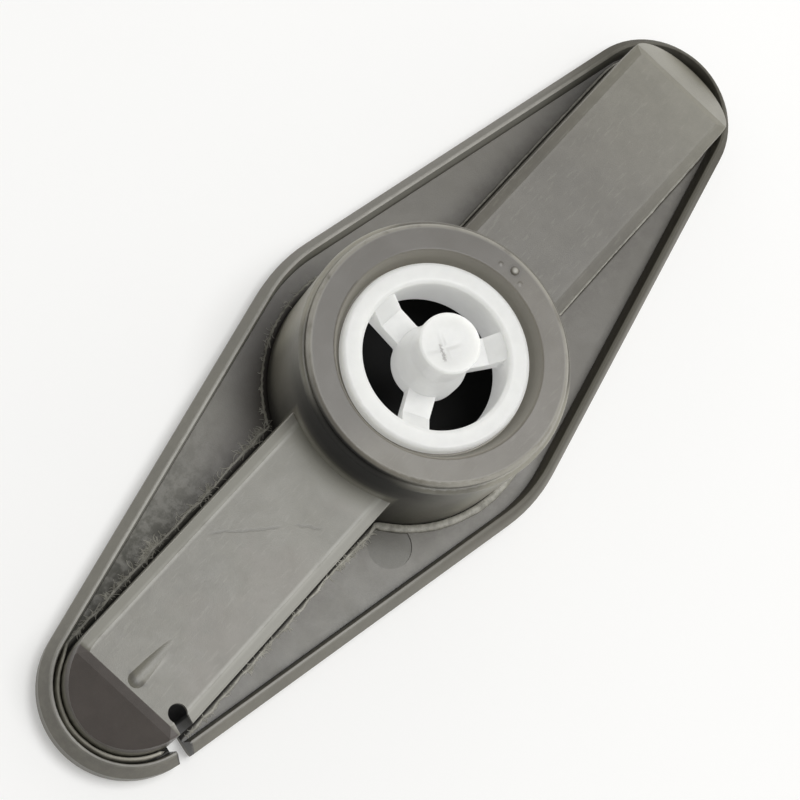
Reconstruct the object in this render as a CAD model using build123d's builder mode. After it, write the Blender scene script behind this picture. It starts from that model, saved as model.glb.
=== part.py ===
from build123d import *
import os
from math import asin, cos, degrees, radians, sin

# Dishwasher spray arm: two grey moulded shells welded into one hollow arm, and the white
# bearing insert that the arm spins on. Millimetres, +Z up. The arm lies on its spray face
# with the feed hub upwards. The origin is on the hub's axis in the plane it lies on, and
# +X runs along the arm towards the end with the drive jet.

# Outline of the tray: a waist circle and two tip circles joined by their tangents. The middle
# of both shells lies a little off the hub's axis, towards the plain tip
arm_length = 200.0
waist_radius = 34.6
tip_radius = 17.2
shell_shift = -1.5

# Section of the tray
rim_height = 7.5
rim_bevel_run = 1.8
rim_bevel_drop = 3.0
crest_width = 0.55
crest_round = 0.15
floor_thickness = 2.5
wall_draft = 7.0
underside_round = 1.2

# Ducts of the cover
duct_span = 192.4
duct_width = 26.2
duct_height = 15.5
duct_draft = 1.5
shoulder_run = 2.2
shoulder_drop = 0.6
shoulder_round = 0.5
jet_facet_run = 9.1
jet_facet_slope = 36.0
plain_facet_run = 11.6
plain_facet_slope = 45.0
brow_bevel = 0.9
wall = 2.0

# Turret of the cover, with the seat that the bearing insert turns in
turret_radius = 27.0
turret_height = 28.6
turret_step_run = 1.1
turret_step_drop = 1.8
turret_round = 0.8
seat_radius = 20.5
seat_depth = 4.6
seat_draft = 18.0
seat_round = 0.5
ledge_thickness = 2.0

# Bearing insert
lip_gap = 1.85
lip_overhang = 2.15
lip_sink = 1.9
lip_round = 0.9
sleeve_wall = 2.0
sleeve_length = 10.9
running_clearance = 0.1
axial_play = 0.15
snap_bead = 0.5
snap_length = 2.0
spoke_count = 3
spoke_width = 5.4
spoke_height = 3.6
spoke_sink = 4.0
spoke_angle = 25.0
spoke_blend = 0.6
spoke_ramp_run = 3.2
spoke_ramp_rise = 2.9
boss_radius = 7.1
pin_radius = 6.0
pin_length = 6.3
pin_flare = 2.5
pin_round = 0.5

# Drive jet pocket beside the tip: a round well, a slot out through the rim, an orifice
jet_x = 82.0
jet_y = 9.4
jet_well = 1.85
jet_slot = 3.1
jet_slot_angle = 75.0
jet_orifice = 0.9
jet_orifice_rise = 3.0

# Spray jets in the hidden face, flared outwards
spray_hole = 1.2
spray_mouth = 3.0
spray_flare = 1.6
spray_first = 36.0
spray_pitch = 17.0
spray_count = 3
spray_offset = 5.0

# Small marks of the moulding: a bullet-shaped bump, a pip on the hub and an ejector mark
bump_radius = 3.5
bump_rise = 0.4
bump_length = 10.5
bump_lean = 2.3
bump_setback = 3.0
bump_offset = -0.3
pip_radius = 1.3
pip_rise = 0.4
ejector_radius = 4.6
ejector_depth = 0.25
ejector_angle = 37.0

# Levels and places that follow from the sizes above
floor_top = floor_thickness
duct_top = floor_top + duct_height
shoulder_top = duct_top - shoulder_drop
turret_top = floor_top + turret_height
ledge_top = turret_top - seat_depth
ledge_bottom = ledge_top - ledge_thickness
lip_top = turret_top - lip_sink
lip_bottom = ledge_top + axial_play
lip_radius = seat_radius - lip_gap
sleeve_radius = lip_radius - lip_overhang
sleeve_bore = sleeve_radius - sleeve_wall
bead_top = ledge_bottom - axial_play
sleeve_bottom = lip_top - sleeve_length
spoke_top = lip_top - spoke_sink
spoke_bottom = spoke_top - spoke_height
pin_base = lip_top + pin_flare
pin_top = pin_base + pin_length
turret_disc = turret_radius - turret_step_run
jet_brow = shell_shift + duct_span / 2 - jet_facet_run
plain_brow = shell_shift - duct_span / 2 + plain_facet_run
tip_centre = arm_length / 2 - tip_radius
lean = asin((waist_radius - tip_radius) / tip_centre)


def tray_outline(inset):
    """Face of the arm's outline, moved inwards by inset, in the current sketch."""
    waist = waist_radius - inset
    tip = tip_radius - inset
    with BuildLine() as outline:
        CenterArc((tip_centre, 0), tip, 0, 90 - degrees(lean))
        Line(
            (tip_centre + tip * sin(lean), tip * cos(lean)),
            (waist * sin(lean), waist * cos(lean)),
        )
        CenterArc((0, 0), waist, 90 - degrees(lean), degrees(lean))
        mirror(about=Plane.YZ)
        mirror(about=Plane.XZ)
    make_face(outline.edges())


def jet_plan(grow):
    """Keyhole of the drive jet's pocket, grown outwards by grow, in the current sketch."""
    with Locations((jet_x, jet_y)):
        Circle(jet_well + grow)
    with Locations(Location((jet_x, jet_y, 0), (0, 0, jet_slot_angle))):
        Rectangle(waist_radius, jet_slot + 2 * grow, align=(Align.MIN, Align.CENTER))


def duct_block(inset, top):
    """Solid of both ducts in one, up to the level top, moved inwards by inset, in the current part."""
    with BuildSketch(Plane((shell_shift, 0, floor_top))) as plan:
        SlotOverall(duct_span - 2 * inset, duct_width - 2 * inset)
    extrude(plan.sketch, amount=top - floor_top, taper=duct_draft)


def duct_facets(inset):
    """Sloped cuts over both duct ends and their bevelled brows, moved inwards by inset."""
    for side, brow, slope in ((1, jet_brow, jet_facet_slope), (-1, plain_brow, plain_facet_slope)):
        for tilt, back in ((slope, 0), (slope / 2, brow_bevel)):
            normal = Vector(side * sin(radians(tilt)), 0, cos(radians(tilt)))
            edge = Vector(brow - side * back, 0, duct_top)
            split(bisect_by=Plane(origin=edge - normal * inset, z_dir=normal), keep=Keep.BOTTOM)


# Spray tray: the lower shell, a shallow boat with a raised rim and the spray jets
with BuildPart() as tray:
    with BuildSketch(Plane((shell_shift, 0, 0))):
        tray_outline(0)
    extrude(amount=rim_height)
    fillet(edges().group_by(Axis.Z)[0], underside_round)
    crown = faces().sort_by(Axis.Z)[-1]
    chamfer(crown.edges(), rim_bevel_run, rim_bevel_drop, reference=crown)
    with BuildSketch(Plane((shell_shift, 0, rim_height))):
        tray_outline(rim_bevel_run + crest_width)
    extrude(amount=floor_top - rim_height, taper=wall_draft, mode=Mode.SUBTRACT)
    fillet(edges().group_by(Axis.Z)[-1], crest_round)
    with BuildSketch():
        jet_plan(0)
    extrude(amount=rim_height, mode=Mode.SUBTRACT)
    with BuildSketch(Plane.XY.offset(floor_top)):
        with PolarLocations(turret_radius + ejector_radius, 1, start_angle=ejector_angle):
            Circle(ejector_radius)
    extrude(amount=-ejector_depth, mode=Mode.SUBTRACT)
    for index in range(spray_count):
        reach = spray_first + index * spray_pitch
        swing = spray_offset * (-1) ** index
        with Locations((reach, swing), (-reach, -swing)):
            Cone(
                spray_mouth,
                spray_hole,
                spray_flare,
                align=(Align.CENTER, Align.CENTER, Align.MIN),
                mode=Mode.SUBTRACT,
            )
            Cylinder(
                spray_hole,
                floor_thickness,
                align=(Align.CENTER, Align.CENTER, Align.MIN),
                mode=Mode.SUBTRACT,
            )
tray.part.label = "spray_tray"

# Water way: the hollow that the cover leaves over the tray, kept clear of the jet pocket
with BuildPart() as water_way:
    duct_block(wall, shoulder_top - wall)
    duct_facets(wall)
    with BuildSketch(Plane.XY.offset(floor_top)):
        Circle(turret_radius - wall)
    extrude(amount=ledge_bottom - floor_top)
    with BuildSketch(Plane.XY.offset(floor_top)):
        jet_plan(wall)
    extrude(amount=duct_height, mode=Mode.SUBTRACT)
    inward = Vector(-1, 0, 0).rotate(Axis.Z, jet_slot_angle)
    with BuildSketch(Plane(origin=(jet_x, jet_y, floor_top + jet_orifice_rise), z_dir=inward)):
        Circle(jet_orifice)
    extrude(amount=jet_well + 2 * wall)

# Duct cover: the upper shell, two ducts with sloped ends running out of the hub turret
with BuildPart() as cover:
    duct_block(0, duct_top)
    crown = faces().sort_by(Axis.Z)[-1]
    chamfer(crown.edges(), shoulder_run, shoulder_drop, reference=crown)
    near_shoulder = (shoulder_top - shoulder_drop / 4, shoulder_top + shoulder_drop / 4)
    fillet(edges().filter_by_position(Axis.Z, *near_shoulder), shoulder_round)
    duct_facets(0)
    with BuildSketch(Plane.XZ):
        with BuildLine():
            Polyline(
                (0, floor_top),
                (turret_radius, floor_top),
                (turret_radius, turret_top - turret_step_drop),
                (turret_disc, turret_top - turret_step_drop),
                (turret_disc, turret_top),
                (0, turret_top),
                close=True,
            )
        make_face()
    revolve(axis=Axis.Z)
    rings = edges().filter_by(GeomType.CIRCLE).group_by(Axis.Z)
    fillet(rings[-1] + rings[-2].sort_by(SortBy.RADIUS)[-1:], turret_round)
    with BuildSketch(Plane.XY.offset(turret_top)):
        Circle(seat_radius)
    extrude(amount=-seat_depth, taper=seat_draft, mode=Mode.SUBTRACT)
    fillet(edges().filter_by(GeomType.CIRCLE).group_by(Axis.Z)[-1].sort_by(SortBy.RADIUS)[0], seat_round)
    with BuildSketch(Plane.XY.offset(ledge_top)):
        Circle(sleeve_radius + running_clearance)
    extrude(amount=-ledge_thickness, mode=Mode.SUBTRACT)
    tail = Vector(-1, 0, 0).rotate(Axis.Y, -bump_lean)
    nose = (jet_brow - bump_setback, bump_offset, duct_top + bump_rise - bump_radius)
    with BuildSketch(Plane(origin=nose, z_dir=tail)):
        Circle(bump_radius)
    extrude(amount=bump_length)
    with Locations(nose):
        Sphere(bump_radius)
    with Locations((-(seat_radius + turret_disc) / 2, 0, turret_top + pip_rise - pip_radius)):
        Sphere(pip_radius)
    add(water_way.part, mode=Mode.SUBTRACT)
    with BuildSketch(Plane.XY.offset(floor_top)):
        jet_plan(0)
    extrude(amount=duct_height, mode=Mode.SUBTRACT)
cover.part.label = "duct_cover"

# Bearing insert: lip, sleeve with a snap bead, three spokes and the pin, in one moulding
with BuildPart() as bearing:
    with BuildSketch(Plane.XZ):
        with BuildLine():
            Polyline(
                (sleeve_bore, sleeve_bottom),
                (sleeve_radius - snap_bead, sleeve_bottom),
                (sleeve_radius, bead_top - snap_length),
                (sleeve_radius + snap_bead, bead_top - snap_bead),
                (sleeve_radius + snap_bead, bead_top),
                (sleeve_radius, bead_top),
                (sleeve_radius, lip_bottom),
                (lip_radius, lip_bottom),
                (lip_radius, lip_top),
                (sleeve_bore, lip_top),
                close=True,
            )
        make_face()
    revolve(axis=Axis.Z)
    fillet(edges().filter_by(GeomType.CIRCLE).group_by(Axis.Z)[-1], lip_round)
    with BuildSketch(Plane.XY.offset(spoke_bottom)):
        Circle((sleeve_bore + sleeve_radius) / 2)
    extrude(amount=spoke_height)
    with BuildSketch(Plane.XY.offset(spoke_bottom)):
        Circle(sleeve_bore)
        Circle(boss_radius, mode=Mode.SUBTRACT)
        with PolarLocations(0, spoke_count, start_angle=spoke_angle):
            Rectangle(lip_radius, spoke_width, align=(Align.MIN, Align.CENTER), mode=Mode.SUBTRACT)
        fillet(vertices(), spoke_blend)
    extrude(amount=spoke_height, mode=Mode.SUBTRACT)
    for index in range(spoke_count):
        with BuildSketch(Plane.XZ.rotated((0, 0, spoke_angle + index * 360 / spoke_count))):
            with BuildLine():
                Polyline(
                    (sleeve_bore - spoke_ramp_run, spoke_top),
                    ((sleeve_bore + sleeve_radius) / 2, spoke_top),
                    (sleeve_bore, spoke_top + spoke_ramp_rise),
                    close=True,
                )
            make_face()
        extrude(amount=spoke_width / 2, both=True)
    with BuildSketch(Plane.XZ):
        with BuildLine():
            Polyline(
                (0, spoke_bottom),
                (boss_radius, spoke_bottom),
                (boss_radius, spoke_top),
                (pin_radius, pin_base),
                (pin_radius, pin_top),
                (0, pin_top),
                close=True,
            )
        make_face()
    revolve(axis=Axis.Z)
    fillet(edges().filter_by(GeomType.CIRCLE).group_by(Axis.Z)[-1], pin_round)
bearing.part.label = "bearing_insert"

os.makedirs("parts", exist_ok=True)
for piece in (tray, cover, bearing):
    export_step(piece.part, f"parts/{piece.part.label}.step")
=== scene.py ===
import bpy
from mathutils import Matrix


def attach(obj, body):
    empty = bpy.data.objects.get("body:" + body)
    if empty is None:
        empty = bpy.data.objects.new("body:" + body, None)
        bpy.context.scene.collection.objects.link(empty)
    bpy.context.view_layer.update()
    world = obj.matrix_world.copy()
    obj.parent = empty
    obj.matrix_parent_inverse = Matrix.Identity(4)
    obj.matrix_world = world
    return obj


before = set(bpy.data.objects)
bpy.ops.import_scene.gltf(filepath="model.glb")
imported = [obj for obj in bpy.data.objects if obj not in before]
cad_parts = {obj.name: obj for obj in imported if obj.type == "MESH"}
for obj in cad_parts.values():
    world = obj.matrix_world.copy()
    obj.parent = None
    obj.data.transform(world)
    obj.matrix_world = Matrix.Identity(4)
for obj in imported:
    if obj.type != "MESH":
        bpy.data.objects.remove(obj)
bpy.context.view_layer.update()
import bpy
import numpy as np
from mathutils import Matrix


# Spray tray. The lower shell of the arm, a shallow boat with a raised rim, injection moulded in
# grey polypropylene. Its floor carries the spray jets, and the cover is welded onto it. Water
# stains and dirt have settled in its troughs.

class Shade:
    """One socket of a material. Sums and products of it add Math nodes to that material."""

    def __init__(self, tree, socket=None):
        self.tree = tree
        self.socket = socket

    def node(self, kind, sockets=(), settings=(), out=0):
        """Adds a node, sets it up, fills its sockets with values or links, returns an output."""
        made = self.tree.nodes.new("ShaderNode" + kind)
        for name, value in dict(settings).items():
            setattr(made, name, value)
        for key, value in dict(sockets).items():
            if isinstance(value, Shade):
                self.tree.links.new(value.socket, made.inputs[key])
            else:
                made.inputs[key].default_value = value
        return Shade(self.tree, made.outputs[out])

    def math(self, operation, first, second=0.0):
        """One Math node on one or two values."""
        return self.node("Math", {0: first, 1: second}, {"operation": operation})

    def __add__(self, other):
        return self.math("ADD", self, other)

    def __sub__(self, other):
        return self.math("SUBTRACT", self, other)

    def __rsub__(self, other):
        return self.math("SUBTRACT", other, self)

    def __mul__(self, other):
        return self.math("MULTIPLY", self, other)

    def __abs__(self):
        return self.math("ABSOLUTE", self)

    __radd__ = __add__
    __rmul__ = __mul__

    def least(self, other):
        """The smaller of two values."""
        return self.math("MINIMUM", self, other)

    def most(self, other):
        """The larger of two values."""
        return self.math("MAXIMUM", self, other)

    def rise(self, low, high):
        """0 below low, 1 above high, smooth between them."""
        limits = {"Value": self, "From Min": low, "From Max": high}
        return self.node("MapRange", limits, {"interpolation_type": "SMOOTHSTEP"})

    def fall(self, low, high):
        """1 below low, 0 above high, smooth between them."""
        return 1 - self.rise(low, high)

    def between(self, start, full, fading, end):
        """0 below start, 1 from full to fading, 0 above end, smooth between them."""
        return self.rise(start, full) * self.fall(fading, end)

    def noise(self, per_metre, detail=3.0, rough=0.55, twist=0.0):
        """Cloudy pattern from 0 to 1 at this place, with per_metre lumps to the metre."""
        lumps = {"Scale": per_metre, "Detail": detail, "Roughness": rough, "Distortion": twist}
        return self.node("TexNoise", {"Vector": self, **lumps})

    def tint(self, from_colour, to_colour):
        """Colour between two colours, by this value. A colour is three numbers or a Shade."""
        ends = [end if isinstance(end, Shade) else (*end, 1) for end in (from_colour, to_colour)]
        return self.node("Mix", {0: self, 6: ends[0], 7: ends[1]}, {"data_type": "RGBA"}, out=2)

    def parts(self):
        """The three parts of this vector."""
        split = self.node("SeparateXYZ", {0: self}).socket.node
        return [Shade(self.tree, part) for part in split.outputs]

    def bump(self, strength, height):
        """Normal of a surface raised by this value times height metres."""
        return self.node("Bump", {"Strength": strength, "Distance": height, "Height": self})


def new_finish(name):
    """A fresh material, its Principled shader's sockets, and the place on the piece in metres."""
    material = bpy.data.materials.new(name)
    material.use_nodes = True
    tree = material.node_tree
    place = Shade(tree).node("TexCoord", out="Object")
    return material, tree.nodes["Principled BSDF"].inputs, place


def in_millimetres(place):
    """The three parts of a place, each times 1000."""
    return [part * 1000 for part in place.parts()]


def feed(socket, value):
    """Links a value to a shader socket."""
    value.tree.links.new(value.socket, socket)


def dress(piece, material):
    """Gives a piece one material."""
    piece.data.materials.clear()
    piece.data.materials.append(material)


def painted(colour, coats):
    """Lays coats over a colour in turn, each where its mask is above 0 and as strong as that."""
    for mask, coat in coats:
        colour = mask.tint(colour, coat)
    return colour


def away(x, y, middle=(0, 0)):
    """Distance in plan from a point: the root of the two squared differences."""
    east, north = x - middle[0], y - middle[1]
    return east.math("SQRT", east * east + north * north)


def turned_plan(x, y, middle, degrees):
    """Distances in plan along and across a line through a point: the two differences from the
    point, turned by the line's angle from +X."""
    angle = np.radians(degrees)
    east, north = x - middle[0], y - middle[1]
    along = east * np.cos(angle) + north * np.sin(angle)
    across = north * np.cos(angle) - east * np.sin(angle)
    return along, across


def mottle(place):
    """Uneven grey of reground plastic, 0 to 1: wide clouds, small blotches and specks."""
    clouds = place.noise(42, 4, 0.6).rise(0.3, 0.7)
    blotches = place.noise(310, 3, 0.6).rise(0.3, 0.7)
    specks = place.noise(1500, 2, 0.6).rise(0.25, 0.75)
    return clouds * 0.45 + blotches * 0.35 + specks * 0.2


def moulded_skin(place, film):
    """Normal of a spark-eroded mould's grain and slow waves under a thin uneven film."""
    grain = place.noise(4600, 2, 0.6)
    waves = place.noise(95, 2, 0.5)
    return (grain * 0.5 + film * 0.35 + waves * 1.6).bump(0.5, 0.0001)


def beside_foot(x, y):
    """Distance in plan outwards from the cover's foot: a long slot's outline joined to the
    turret's circle."""
    past_end = (abs(x + arm_shift) - foot_straight).most(0.0)
    return (away(past_end, y) - foot_half).least(away(x, y) - turret_radius)


def inside_rim(x, y):
    """Distance in plan inwards from the arm's outline: from the waist's arc, the slanted sides
    or the tips' arcs, whichever the place lies beside."""
    along = abs(x + arm_shift)
    side = waist_radius - along * slant_sine - abs(y) * slant_cosine
    waist = waist_radius - away(along, y)
    tip = tip_radius - away(along, y, (tip_centre, 0))
    past_waist = (along * slant_cosine - abs(y) * slant_sine).rise(-0.3, 0.3)
    past_side = ((along - tip_centre) * slant_cosine - abs(y) * slant_sine).rise(-0.3, 0.3)
    distance = waist + (side - waist) * past_waist
    return distance + (tip - distance) * past_side


# Millimetres: how far the arm's middle lies behind the hub's axis, its outline, and the foot of
# the cover that stands on the floor
arm_shift = 1.5
waist_radius, tip_radius, tip_centre = 34.6, 17.2, 82.8
slant_sine = (waist_radius - tip_radius) / tip_centre
slant_cosine = np.sqrt(1 - slant_sine ** 2)
foot_half, foot_straight, turret_radius = 13.1, 83.1, 27.0
ejector_mark = (25.24, 19.02)
jet_well_middle, jet_slot_angle = (82.0, 9.4), 75
plastic_ior, plastic_shine = 1.49, 0.75

tray_finish, shader, place = new_finish("grey_shell_plastic")
x, y, z = in_millimetres(place)
film = place.noise(150, 5, 0.62, 0.8)
silt = place.noise(520, 5, 0.68)
left = y.fall(-6, 6)
far_side = x.fall(-30, 45)
far_tip = x.fall(-90, -60)
foot_gap = beside_foot(x, y)
rim_gap = inside_rim(x, y)
upper = z.rise(1.2, 2.0)
on_floor = z.fall(3.0, 5.0) * rim_gap.rise(1.6, 2.2) * upper

# Dirt on the floor, and painted shade under the cover, in the corners beside it and in the jet's
# slot
# painted shade: the floor under the cover and inside the turret near-black
inside_painted_shade = foot_gap.fall(-1.2, -0.6) * upper
# painted shade: a near-black line in the corner beside the cover's foot, wider on the left
crevice_painted_shade = foot_gap.fall(0.6 - left * 0.7, 1.1) * upper
settled = foot_gap.fall(1.2, 6.0) * silt.rise(0.34, 0.60) * upper
moss = x.rise(20, 70) * left * on_floor * (0.35 + silt.rise(0.40, 0.62) * 0.65)
# the floor left of the hub painted darker
left_of_hub_darker = left * on_floor * foot_gap.fall(2, 12) * x.between(-10, 10, 30, 55)
right_tip = x.rise(45, 80) * (1 - left) * on_floor
ejector = away(x, y, ejector_mark).fall(4.3, 4.7) * upper
stain = place.noise(75, 3, 0.6).rise(0.46, 0.66) * on_floor
slot_along, slot_across = turned_plan(x, y, jet_well_middle, jet_slot_angle)
# painted shade: the jet's slot darkened near-black, patchy
slot_painted_shade = abs(slot_across).fall(1.7, 2.0) * slot_along.rise(-3, -2)
slot_painted_shade = slot_painted_shade * silt.rise(0.25, 0.5) * upper

# The rim: worn pale with a painted highlight on the crest, painted light and shade inside, shade at
# the plain tip
# painted shade: a dark line at the foot of the right rim's inner wall
rim_foot_painted_shade = rim_gap.between(2.6, 2.8, 3.0, 3.4) * (1 - left) * upper
# the crest is painted pale: worn, and on the left a painted highlight where it meets the light
crest = rim_gap.between(1.5, 1.9, 2.3 + left * 0.2, 2.6 + left * 0.2)
crest = crest * (0.4 + left * 0.6) * (0.5 + film.rise(0.3, 0.6) * 0.5) * upper
# painted light: the left rim's inner wall paler, against the shade it gets from facing sideways
rim_wall_painted_light = rim_gap.between(2.1, 2.4, 2.7, 2.9) * left * upper
# painted shade: the rim darker towards the plain tip, against its sheen
rim_painted_shade = rim_gap.rise(0.4, 1.4).most(far_tip) * rim_gap.fall(2.2, 3.0)
rim_painted_shade = rim_painted_shade * far_side * (1 - left).most(far_tip) * upper

colour = painted(mottle(place).tint((0.106, 0.100, 0.078), (0.154, 0.145, 0.115)), [
    # painted shade: the far half darker and browner, standing for the weaker light there
    (far_side * 0.6, (0.104, 0.094, 0.075)),
    (stain * 0.30, (0.112, 0.102, 0.084)),
    (ejector * 0.85, (0.058, 0.054, 0.032)),
    (settled * 0.55, (0.070, 0.060, 0.046)),
    (left_of_hub_darker * 0.6, (0.060, 0.049, 0.041)),
    (right_tip * 0.4, (0.078, 0.074, 0.058)),
    (moss * 0.70, (0.032, 0.033, 0.021)),
    (left * far_tip * on_floor * 0.6, (0.040, 0.038, 0.030)),
    (crest * 0.75, (0.36, 0.352, 0.315)),
    (rim_wall_painted_light * (1 - far_tip) * 0.8, (0.46, 0.45, 0.40)),
    (rim_painted_shade * 0.7, (0.052, 0.048, 0.034)),
    (slot_painted_shade * 0.8, (0.012, 0.011, 0.009)),
    (rim_foot_painted_shade * (0.85 - far_side * 0.6), (0.020, 0.018, 0.015)),
    (crevice_painted_shade * (0.92 - far_side * 0.2 - far_tip * 0.4), (0.006, 0.0055, 0.005)),
    (inside_painted_shade, (0.003, 0.003, 0.003)),
])
dull = rim_painted_shade * 0.5 + moss * 0.2 + (inside_painted_shade + crevice_painted_shade) * 0.6
feed(shader["Base Color"], colour)
feed(shader["Roughness"], (0.36 + film * 0.14 + dull).least(1.0))
feed(shader["Normal"], moulded_skin(place, film + moss * 1.5))
shader["IOR"].default_value = plastic_ior
shader["Specular IOR Level"].default_value = plastic_shine
dress(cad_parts["spray_tray"], tray_finish)


# Duct cover. The upper shell, moulded in the same grey polypropylene: two flat-topped ducts
# with sloped ends run out of the round turret that holds the bearing insert. The jet's duct is
# scratched, painted highlights run along its edges, and painted shade darkens the turret's wall
# above it.

def streaks(place, turn, squeeze, per_metre):
    """Cloudy pattern drawn out into streaks: the plan is turned, then squeezed along one way."""
    drawn = {"Vector": place, "Rotation": (0, 0, turn), "Scale": (squeeze, 1, 1)}
    return place.node("Mapping", drawn).noise(per_metre, 3, 0.6)


# Millimetres: levels of the ducts' and the turret's tops, half the ducts' flat width, the hub's
# rings, and the places of the small marks
duct_top, panel_half = 18.0, 10.5
hub_top, hub_rim, seat_radius = 31.1, 25.6, 20.3
pip_middle, bump_nose_middle = (-23.2, 0.0), (81.2, -0.3)
pimple_middles = [(-22.26, -2.88), (-19.77, -0.53), (-19.80, 2.87), (-21.92, 2.42)]
long_cut = ((48.3, -4.6), 48.37, (-9.0, -8.0, -0.4, 0.6))
short_cut = ((38.8, 4.2), 33.86, (1.8, 2.6, 5.6, 6.6))

cover_finish, shader, place = new_finish("grey_cover_plastic")
x, y, z = in_millimetres(place)
film = place.noise(130, 5, 0.62, 0.8)
patchy = film.rise(0.2, 0.55)
left = y.fall(-6, 6)
near_side = x.rise(0, 35)
front = x.rise(15.0, 26.5)
from_axis = away(x, y)

# The ducts: rubs and scratches on the flat tops, painted light and highlights on the shoulders and
# the bump, painted shade on the jet end's facet
on_bump = z.rise(duct_top - 0.3, duct_top - 0.1)
on_top = on_bump * z.fall(duct_top + 0.2, duct_top + 0.4)
warm = place.noise(70, 3, 0.6).rise(0.46, 0.66)
rubs = streaks(place, 0.7, 0.16, 1500).rise(0.58, 0.70)
rubs = rubs.most(streaks(place, -1.1, 0.2, 1300).rise(0.60, 0.72))
wander = place.noise(700, 2, 0.5) * 0.8 - 0.4
cuts = []
for middle, degrees, span in (long_cut, short_cut):
    off_line = abs(turned_plan(x, y, middle, degrees)[0] + wander)
    cuts.append(off_line.fall(0.1, 0.4) * y.between(*span))
scratch = (cuts[0] + cuts[1]).least(1.0) * on_top
above_wall = z.between(16.6, 17.2, 18.4, 19.0) * (from_axis - turret_radius).rise(0.0, 0.3)
above_wall = above_wall * x.between(-85.8, -84.8, 83.8, 84.8)
# painted light: the duct's shoulders paler, most on the jet's side
shoulder_painted_light = above_wall * abs(y).rise(panel_half - 0.2, panel_half + 0.4)
# painted highlight: a pale line along each panel edge
panel_edge_highlight = above_wall * abs(abs(y) - panel_half).fall(0.2, 0.8) * patchy
# painted shade: the jet end's sloped facet darker, as it faces away from the light
jet_facet = x.rise(84.6, 84.9) * z.rise(10.0, 10.6)
# painted shade: a dark crescent at the nose of the bump
bump_nose_painted_shade = x.rise(81.5, 82.5) * abs(away(x, y, bump_nose_middle) - 1.9).fall(0.2, 0.9)
# painted highlight: a pale streak along the bump's side
bump_side_highlight = abs(y - 0.9).fall(0.2, 0.8) * x.between(74.0, 77.5, 81.4, 82.4)
slot_along, slot_across = turned_plan(x, y, jet_well_middle, jet_slot_angle)
# painted shade: the jet's slot darkened near-black
slot_painted_shade = abs(slot_across).fall(1.6, 1.9) * slot_along.rise(-3, -2) * z.fall(16.6, 17.4)
# painted shade: the jet's well near-black
jet_well_painted_shade = away(x, y, jet_well_middle).fall(1.9, 2.3) * z.fall(16.2, 17.4)
# painted shade: the jet duct's left wall near-black low down
left_wall_painted_shade = left * near_side * z.fall(4.0, 10.0) * abs(y).rise(12.0, 12.2)
foot_dirt = z.fall(3.0, 7.2) * place.noise(380, 4, 0.6).rise(0.35, 0.7)

# The turret: its face with the pip and four pimples, painted light on its rim, sides and seat,
# painted shade on its front wall above the duct
hub_face = z.rise(hub_top - 1.6, hub_top - 0.8)
# painted highlight: a pale ring along the turret's top edge, left out at the front
hub_edge_highlight = hub_face * abs(from_axis - hub_rim).fall(0.2, 0.9) * patchy * (1 - front * 0.9)
turret_wall = from_axis.between(25.4, 25.8, 27.1, 27.4) * z.fall(30.0, 30.9)
# painted shade: the turret's front wall above the jet's duct near-black
front_wall_painted_shade = turret_wall * front * z.rise(19.0, 22.0).most(abs(y).rise(12.5, 13.5))
front_wall_painted_shade = front_wall_painted_shade * (0.8 + z.rise(20, 25) * 0.2)
front_wall_painted_shade = front_wall_painted_shade * (1 - z.rise(28, 29) * x.fall(20.5, 25.5))
# painted light: the turret's wall paler at its sides
wall_sides_painted_light = turret_wall * abs(y).rise(21.5, 24.5)
# painted light: the duct's top paler where it meets the turret, against the shadow there
duct_root_painted_light = near_side * z.between(17.6, 17.9, 18.4, 20.6) * abs(y).fall(9.5, 12.0)
duct_root_painted_light = duct_root_painted_light * from_axis.fall(turret_radius + 0.5, turret_radius + 6.5)
pimples = [away(x, y, middle).fall(0.15, 0.6) for middle in pimple_middles]
pimples = (pimples[0] + pimples[1] + pimples[2] + pimples[3]) * z.rise(hub_top - 1.0, hub_top - 0.4)
from_pip = away(x, y, pip_middle)
# painted highlight: the pip paler
pip = from_pip.fall(0.3, 0.8) * z.rise(hub_top, hub_top + 0.2)
pip_ring = hub_face * abs(from_pip - 1.1).fall(0.1, 0.6)
# painted light: the seat's wall round the insert paler, against its shade
seat_wall_painted_light = from_axis.fall(seat_radius, seat_radius + 0.6) * z.rise(24.6, 25.6)
# painted shade: the inside of the turret below the insert near-black
inside_painted_shade = from_axis.fall(25.1, 25.6) * z.fall(23.6, 24.2)

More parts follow.
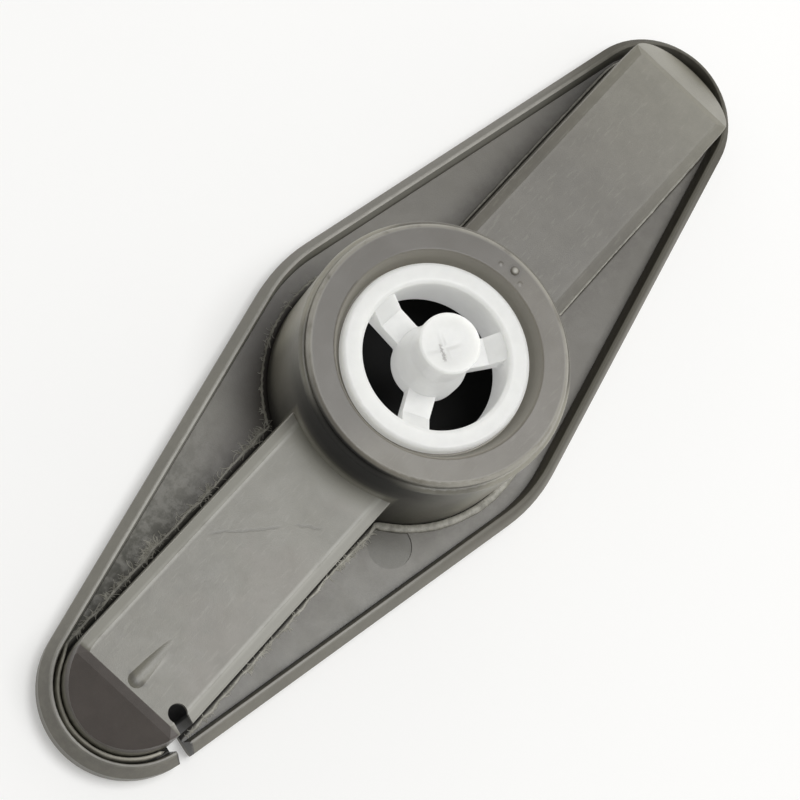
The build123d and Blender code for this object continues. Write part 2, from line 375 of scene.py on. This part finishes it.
tone = mottle(place)
far_half_painted_shade = tone.tint((0.088, 0.081, 0.066), (0.122, 0.113, 0.093))
far_end_painted_light = tone.tint((0.165, 0.157, 0.125), (0.222, 0.211, 0.172))
facet_painted_shade = tone.tint((0.058, 0.048, 0.045), (0.078, 0.064, 0.060))
colour = painted(tone.tint((0.114, 0.109, 0.086), (0.160, 0.153, 0.122)), [
    # painted shade: the far half darker, standing for its weaker sheen
    ((1 - near_side) * 0.9, far_half_painted_shade),
    # painted light: the plain end paler, standing for its reflection of the bright room
    (x.fall(-90, -50), far_end_painted_light),
    # painted reflection: the plain end's facet paler on one side
    (x.fall(-92, -85) * y.fall(-4, 3) * 0.4, (0.29, 0.277, 0.228)),
    # painted sheen: the jet's duct paler near the turret
    (near_side * x.fall(34, 62) * 0.16, (0.27, 0.265, 0.215)),
    (near_side * warm * 0.4, (0.168, 0.148, 0.122)),
    (rubs * 0.16, (0.30, 0.295, 0.25)),
    (hub_face * 0.5, (0.128, 0.112, 0.086)),
    # painted shade: the left of the turret's face darker, against its sheen
    (hub_face * left * x.fall(22, 34) * 0.7, (0.060, 0.053, 0.043)),
    (hub_edge_highlight * 0.6, (0.42, 0.405, 0.355)),
    (wall_sides_painted_light * 0.85, (0.28, 0.267, 0.218)),
    (front_wall_painted_shade * 0.95, (0.004, 0.0036, 0.003)),
    (duct_root_painted_light * 0.75, (0.38, 0.372, 0.322)),
    (seat_wall_painted_light * 0.7, (0.28, 0.262, 0.220)),
    (pip_ring * 0.4, (0.050, 0.046, 0.038)),
    (slot_painted_shade * 0.85, (0.012, 0.011, 0.009)),
    (jet_facet * 0.85, facet_painted_shade),
    (foot_dirt * 0.5, (0.050, 0.047, 0.038)),
    (scratch * 0.28, (0.050, 0.049, 0.043)),
    (shoulder_painted_light * (0.05 + near_side * (0.80 - left * 0.15)), (0.32, 0.314, 0.282)),
    (panel_edge_highlight * (0.05 + near_side * 0.45), (0.44, 0.434, 0.395)),
    (bump_nose_painted_shade * on_bump * 0.45, (0.050, 0.046, 0.042)),
    (bump_side_highlight * on_bump * 0.35, (0.36, 0.352, 0.315)),
    (pimples * 0.4, (0.26, 0.25, 0.225)),
    (pip * 0.8, (0.42, 0.41, 0.37)),
    (left_wall_painted_shade * 0.9, (0.008, 0.0075, 0.006)),
    (inside_painted_shade.most(jet_well_painted_shade), (0.003, 0.003, 0.003)),
])
dull = inside_painted_shade + jet_well_painted_shade + left_wall_painted_shade + front_wall_painted_shade
feed(shader["Base Color"], colour)
feed(shader["Roughness"], (0.34 + film * 0.14 + dull * 0.6).least(1.0))
feed(shader["Normal"], moulded_skin(place, film + pimples * 4.0 - scratch * 0.9))
shader["IOR"].default_value = plastic_ior
shader["Specular IOR Level"].default_value = plastic_shine
dress(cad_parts["duct_cover"], cover_finish)


# Weld flash. Grey plastic squeezed out of the joint when the cover was hot-plate welded onto
# the tray: a ragged bead round the cover's foot, drawn up into a thin fin round the jet's end,
# with hair-thin strings pulled off it. It is worked out in millimetres.

def eased(rows, width):
    """Running mean of each column, weighted by a bell that is width places wide."""
    bell = np.hanning(width) / np.hanning(width).sum()
    padded = np.pad(rows, ((width // 2, width // 2), (0, 0)), mode="edge")
    return np.stack([np.convolve(column, bell, "valid") for column in padded.T], -1)


def foot_line(spacing):
    """Plan of the cover's foot from one side of the jet's slot round the arm to its other side:
    lines beside the ducts, arcs round the turret and the ends, measured off every spacing
    millimetres and with its inner corners eased by a running mean."""
    share = np.linspace(0, 1, 400)

    def straight(start, end, level):
        return np.stack([start + (end - start) * share, np.full_like(share, level)], -1)

    def arc(middle, radius, start, end):
        turn = start + (end - start) * share
        return np.stack([middle + radius * np.cos(turn), radius * np.sin(turn)], -1)

    corner = np.sqrt(turret_radius ** 2 - foot_half ** 2)
    swing = np.arcsin(foot_half / turret_radius)
    jet_end, plain_end = foot_straight - arm_shift, -foot_straight - arm_shift
    rough = np.concatenate([
        straight(slot_edge, corner, foot_half),
        arc(0, turret_radius, swing, np.pi - swing),
        straight(-corner, plain_end, foot_half),
        arc(plain_end, foot_half, np.pi / 2, 3 * np.pi / 2),
        straight(plain_end, -corner, -foot_half),
        arc(0, turret_radius, np.pi + swing, 2 * np.pi - swing),
        straight(corner, jet_end, -foot_half),
        arc(jet_end, foot_half, -np.pi / 2, np.radians(last_turn)),
    ])
    run = np.append(0, np.cumsum(np.linalg.norm(np.diff(rough, axis=0), axis=1)))
    even = np.arange(0, run[-1], spacing)
    return eased(np.stack([np.interp(even, run, column) for column in rough.T], -1), 9)


def uneven(count, lump, dice):
    """Smooth random values from -1 to 1 for count places, one free value every lump places."""
    knots = dice.uniform(-1, 1, count // lump + 3)
    return np.interp(np.arange(count) / lump, np.arange(len(knots)), knots)


def stretch(low, high):
    """Share of each place of the foot line that lies in the rectangle of the plan between two
    corners, eased at its ends."""
    inside = np.all((line > low) & (line < high), axis=1)
    return eased(inside[:, None].astype(float), 25)[:, 0]


def tube_skin(start, tubes, rings, around):
    """Faces of tubes whose points run from start tube by tube, ring by ring: a quad between
    each two neighbours on each two rings, and two end caps."""
    ring, spoke = np.meshgrid(np.arange(rings - 1), np.arange(around), indexing="ij")
    next_spoke = (spoke + 1) % around
    this_ring, next_ring = ring * around, (ring + 1) * around
    quad = [this_ring + spoke, this_ring + next_spoke, next_ring + next_spoke, next_ring + spoke]
    quad = np.stack(quad, -1).reshape(-1, 4)
    first = start + (np.arange(tubes) * rings * around)[:, None]
    walls = (first[:, :, None] + quad[None]).reshape(-1, 4)
    near_caps = first + np.arange(around)[::-1]
    far_caps = first + (rings - 1) * around + np.arange(around)
    return walls.tolist() + near_caps.tolist() + far_caps.tolist()


dice = np.random.default_rng(11)
floor_level = 2.5
slot_edge, last_turn = 80.3, 75
spacing = 0.32
line = foot_line(spacing)
count = len(line)
ahead = np.gradient(line, axis=0)
ahead /= np.linalg.norm(ahead, axis=1)[:, None]
outwards = eased(np.stack([ahead[:, 1], -ahead[:, 0]], -1), 15)
outwards /= np.linalg.norm(outwards, axis=1)[:, None]

# The bead: its half width, its height and its distance from the foot, along the foot line
jet_nose = stretch((84.0, -20), (120, 20))
hub_left = stretch((-25.5, -40), (24.0, -12))
hub_right = stretch((-25.5, 12), (24.0, 40))
jet_left = stretch((24.0, -20), (84.0, 0))
jet_right = stretch((24.0, 0), (84.0, 20))
jet_sides = jet_left + jet_right
fine = uneven(count, 2, dice)
coarse = uneven(count, 7, dice)
slow = uneven(count, 40, dice)
rope_pitch = 1.5
rope = np.sin(np.arange(count) * spacing / rope_pitch * 2 * np.pi + 2.2 * slow)
half_width = 0.18 + 0.03 * fine + 0.04 * coarse + 0.64 * hub_right + 0.24 * jet_nose
half_width += (jet_sides + hub_left) * (0.06 + 0.07 * coarse)
height = 0.12 + 0.03 * fine + hub_left * (0.26 + 0.12 * rope) + 0.42 * hub_right
height += jet_sides * (0.10 + 0.08 * coarse) + jet_nose * 4.6
spread = 0.50 + 0.05 * coarse + jet_sides * (0.66 + 0.22 * coarse + 0.2 * slow)
spread += hub_left * (0.75 + 0.2 * slow + 0.08 * rope) + 0.45 * hub_right - 0.04 * jet_nose
taper = np.clip(np.minimum(np.arange(count), np.arange(count)[::-1]) / 6, 0.04, 1)[:, None]

# Its section is a squared ring, flat below the floor, carried along the foot line
around = 12
root_depth, squareness, pitting = 0.3, 0.55, 0.02
turn = np.arange(around) / around * 2 * np.pi
ring = np.stack([np.cos(turn), np.sin(turn)])
sideways, upwards = np.sign(ring) * np.abs(ring) ** squareness
sway = half_width[:, None] * taper * sideways + spread[:, None]
lift = np.where(upwards > 0, height[:, None] * upwards, root_depth * upwards) * taper
lift += dice.normal(0, pitting, lift.shape) * (np.sin(turn) > 0.2)
bead_plan = line[:, None] + outwards[:, None] * sway[..., None]
bead = np.concatenate([bead_plan, floor_level + lift[..., None]], -1)

# The strings: thin tubes that leave the bead at a slant, curl on the floor and taper
strings, rings, sides = 900, 7, 4
odds = jet_left * np.interp(line[:, 0], [30, 70], [0.5, 1.3])
odds = odds + 0.7 * jet_right + 0.2 * hub_left + 0.004
odds *= 0.12 + np.clip(uneven(count, 9, dice), 0, 1) ** 2
root = dice.choice(count, strings, p=odds / odds.sum())
along = np.linspace(0, 1, rings)
reach = dice.uniform(0.4, 2.4, strings) * (0.6 + 0.4 * jet_left[root])
slant = dice.choice([-1, 1], strings) * dice.uniform(0.4, 2.0, strings)
curl = dice.normal(0, 1.2, strings)[:, None] * along
heading = (np.arctan2(outwards[root, 1], outwards[root, 0]) + slant)[:, None] + curl
step = reach[:, None] / (rings - 1)
path = np.stack([np.cumsum(np.cos(heading) * step, 1), np.cumsum(np.sin(heading) * step, 1)], -1)
path += (line[root] + outwards[root] * spread[root, None])[:, None]
hang = (height[root] * dice.uniform(0.1, 0.6, strings))[:, None] * (1 - along) ** 2
level = floor_level + 0.03 + hang
thick = dice.uniform(0.06, 0.16, strings)[:, None] * (1 - 0.6 * along)
across = np.stack([-np.sin(heading), np.cos(heading)], -1)
wheel = np.arange(sides) / sides * 2 * np.pi
string_sway = (thick[:, :, None] * np.cos(wheel))[..., None]
string_plan = path[:, :, None] + across[:, :, None] * string_sway
string_level = level[:, :, None] + 0.5 * thick[:, :, None] * np.sin(wheel)
threads = np.concatenate([string_plan, string_level[..., None]], -1)

flash_mesh = bpy.data.meshes.new("weld_flash")
bead_faces = tube_skin(0, 1, count, around)
thread_faces = tube_skin(count * around, strings, rings, sides)
flash_points = np.concatenate([bead.reshape(-1, 3), threads.reshape(-1, 3)]) / 1000
flash_mesh.from_pydata(flash_points.tolist(), [], bead_faces + thread_faces)
smooth = np.arange(len(flash_mesh.polygons)) < len(bead_faces)
flash_mesh.polygons.foreach_set("use_smooth", smooth)
flash_finish, shader, place = new_finish("grey_flash_plastic")
x = in_millimetres(place)[0]
melt = place.noise(900, 4, 0.65)
film = place.noise(260, 4, 0.6)
colour = painted(melt.rise(0.3, 0.7).tint((0.300, 0.290, 0.246), (0.500, 0.485, 0.425)), [
    (film.rise(0.5, 0.75) * 0.4, (0.110, 0.103, 0.084)),
    # painted light: the fin round the jet's end paler, against the shade of its pit
    (x.rise(82, 86), (0.56, 0.54, 0.465)),
])
feed(shader["Base Color"], colour)
feed(shader["Roughness"], 0.34 + film * 0.25)
feed(shader["Normal"], melt.bump(0.5, 0.0001))
shader["IOR"].default_value = plastic_ior
flash = bpy.data.objects.new("weld_flash", flash_mesh)
bpy.context.scene.collection.objects.link(flash)
dress(flash, flash_finish)
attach(flash, "arm")


# Bearing insert. One white acetal moulding snapped into the turret: lip, sleeve, three spokes
# and the pin that the arm spins on, smooth from the polished mould. The pin's end is dimpled
# and torn where the gate was broken off.

pin_top = 38.0
gate_middle, tear_start, gate_angle = (1.6, -0.2), (1.7, -1.4), 60

insert_finish, shader, place = new_finish("white_bearing_plastic")
x, y, z = in_millimetres(place)
clouds = place.noise(190, 4, 0.6)
chalk = place.noise(720, 4, 0.6)
on_pin = z.rise(pin_top - 1.6, pin_top - 0.6)
first_fold, second_fold = turned_plan(x, y, gate_middle, gate_angle)
fold = abs(first_fold).fall(0.0, 0.8).most(abs(second_fold).fall(0.0, 0.8))
dimple = away(x, y, gate_middle).fall(0.4, 4.6)
jag = place.noise(1900, 3, 0.6) * 1.4 - 0.7
tear_along, tear_across = turned_plan(x, y, tear_start, gate_angle)
tear = abs(tear_across - jag).fall(0.08, 0.34) * tear_along.between(-0.1, 0.3, 3.1, 3.8) * on_pin
colour = painted(clouds.rise(0.3, 0.7).tint((0.500, 0.505, 0.494), (0.550, 0.555, 0.543)), [
    (fold * dimple * on_pin * 0.22, (0.55, 0.55, 0.53)),
    (tear * 0.8, (0.16, 0.15, 0.14)),
])
relief = chalk * 0.15 - on_pin * dimple * (1.0 + fold * 0.8) - tear * 1.5
feed(shader["Base Color"], colour)
feed(shader["Roughness"], 0.30 + clouds * 0.16)
feed(shader["Normal"], relief.bump(0.7, 0.00025))
shader["IOR"].default_value = 1.48
shader["Subsurface Weight"].default_value = 1.0
shader["Subsurface Radius"].default_value = (1.0, 1.0, 0.9)
shader["Subsurface Scale"].default_value = 0.005
# painted light: the insert glows faintly, standing for light passing through its white plastic
shader["Emission Color"].default_value = (1, 1, 0.98, 1)
shader["Emission Strength"].default_value = 0.27
dress(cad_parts["bearing_insert"], insert_finish)


# Floor. A plain sheet of white paper that glows a little, as on a light table, so that the
# arm's shadow stays faint. It is see-through from below, where the spray face is looked at.

floor_reach, floor_sink = 1.6, 0.0002
edge = np.linspace(-floor_reach, floor_reach, 3)
east, north = np.meshgrid(edge, edge, indexing="ij")
corners = np.stack([east, north, np.full_like(east, -floor_sink)], -1).reshape(-1, 3)
first = (np.arange(2)[:, None] * 3 + np.arange(2)[None, :]).reshape(-1, 1)
floor_mesh = bpy.data.meshes.new("floor")
floor_mesh.from_pydata(corners.tolist(), [], (first + np.array([0, 3, 4, 1])).tolist())
floor_finish, shader, place = new_finish("floor_paper")
paper = place.noise(9, 2, 0.5)
feed(shader["Base Color"], paper.tint((0.70, 0.70, 0.695), (0.72, 0.72, 0.715)))
shader["Roughness"].default_value = 0.9
shader["Emission Color"].default_value = (1, 1, 0.99, 1)
shader["Emission Strength"].default_value = 0.30
paper_nodes = floor_finish.node_tree.nodes
from_below = place.node("NewGeometry", out="Backfacing")
upper_side = Shade(place.tree, paper_nodes["Principled BSDF"].outputs[0])
lower_side = place.node("BsdfTransparent")
sheet = place.node("MixShader", {0: from_below, 1: upper_side, 2: lower_side})
feed(paper_nodes["Material Output"].inputs["Surface"], sheet)
floor = bpy.data.objects.new("floor", floor_mesh)
bpy.context.scene.collection.objects.link(floor)
dress(floor, floor_finish)


# Light. A wide soft box high up beyond the plain tip, on the jet's side, and a room that is
# bright low down behind the arm and beside it, and dim in front of it.

def unit(vector):
    """A vector divided by its length."""
    return np.asarray(vector, float) / np.linalg.norm(vector)


def turned(place, back, up):
    """Matrix of a thing at place whose own +Z is back and whose own +Y is nearest to up."""
    back = unit(back)
    right = unit(np.cross(up, back))
    matrix = np.eye(4)
    matrix[:3] = np.stack([right, np.cross(back, right), back, place], -1)
    return Matrix(matrix)


box_direction, box_distance = unit((-0.20, 0.16, 0.96)), 1.3
soft_box = bpy.data.lights.new("soft_box", "AREA")
soft_box.shape = "DISK"
soft_box.size = 0.75
soft_box.energy = 11
lamp = bpy.data.objects.new("soft_box", soft_box)
lamp.matrix_world = turned(box_direction * box_distance, box_direction, (0, 0, 1))
bpy.context.scene.collection.objects.link(lamp)

room = bpy.data.worlds.new("white_room")
room.use_nodes = True
background = room.node_tree.nodes["Background"].inputs
in_front, beside, above = Shade(room.node_tree).node("TexCoord", out="Generated").parts()
behind = 0.5 - 0.5 * in_front
low = above.fall(0.20, 0.50)
wall_light = 0.20 + behind * 0.9 + beside * beside * 0.6
feed(background["Strength"], 0.12 + behind * 0.25 + low * wall_light)
background["Color"].default_value = (1, 0.99, 0.965, 1)
bpy.context.scene.world = room
bpy.context.scene.view_settings.view_transform = "Standard"


# Camera. Above the jet's tip, looking down along the arm, turned so that the arm runs from
# the lower left of the picture to the upper right.

camera_place = np.array((0.19211, -0.01216, 0.48075))
camera_aim = np.array((0.00157, 0.00119, 0.0035))
camera_roll = np.radians(46.72)
back = unit(camera_place - camera_aim)
level_right = unit(np.cross((0, 0, 1), back))
upright = np.cross(back, level_right)
up = np.cos(camera_roll) * upright - np.sin(camera_roll) * level_right
lens = bpy.data.cameras.new("camera")
lens.sensor_width = 36
lens.lens = 116.37
camera = bpy.data.objects.new("camera", lens)
camera.matrix_world = turned(camera_place, back, up)
bpy.context.scene.collection.objects.link(camera)
bpy.context.scene.camera = camera
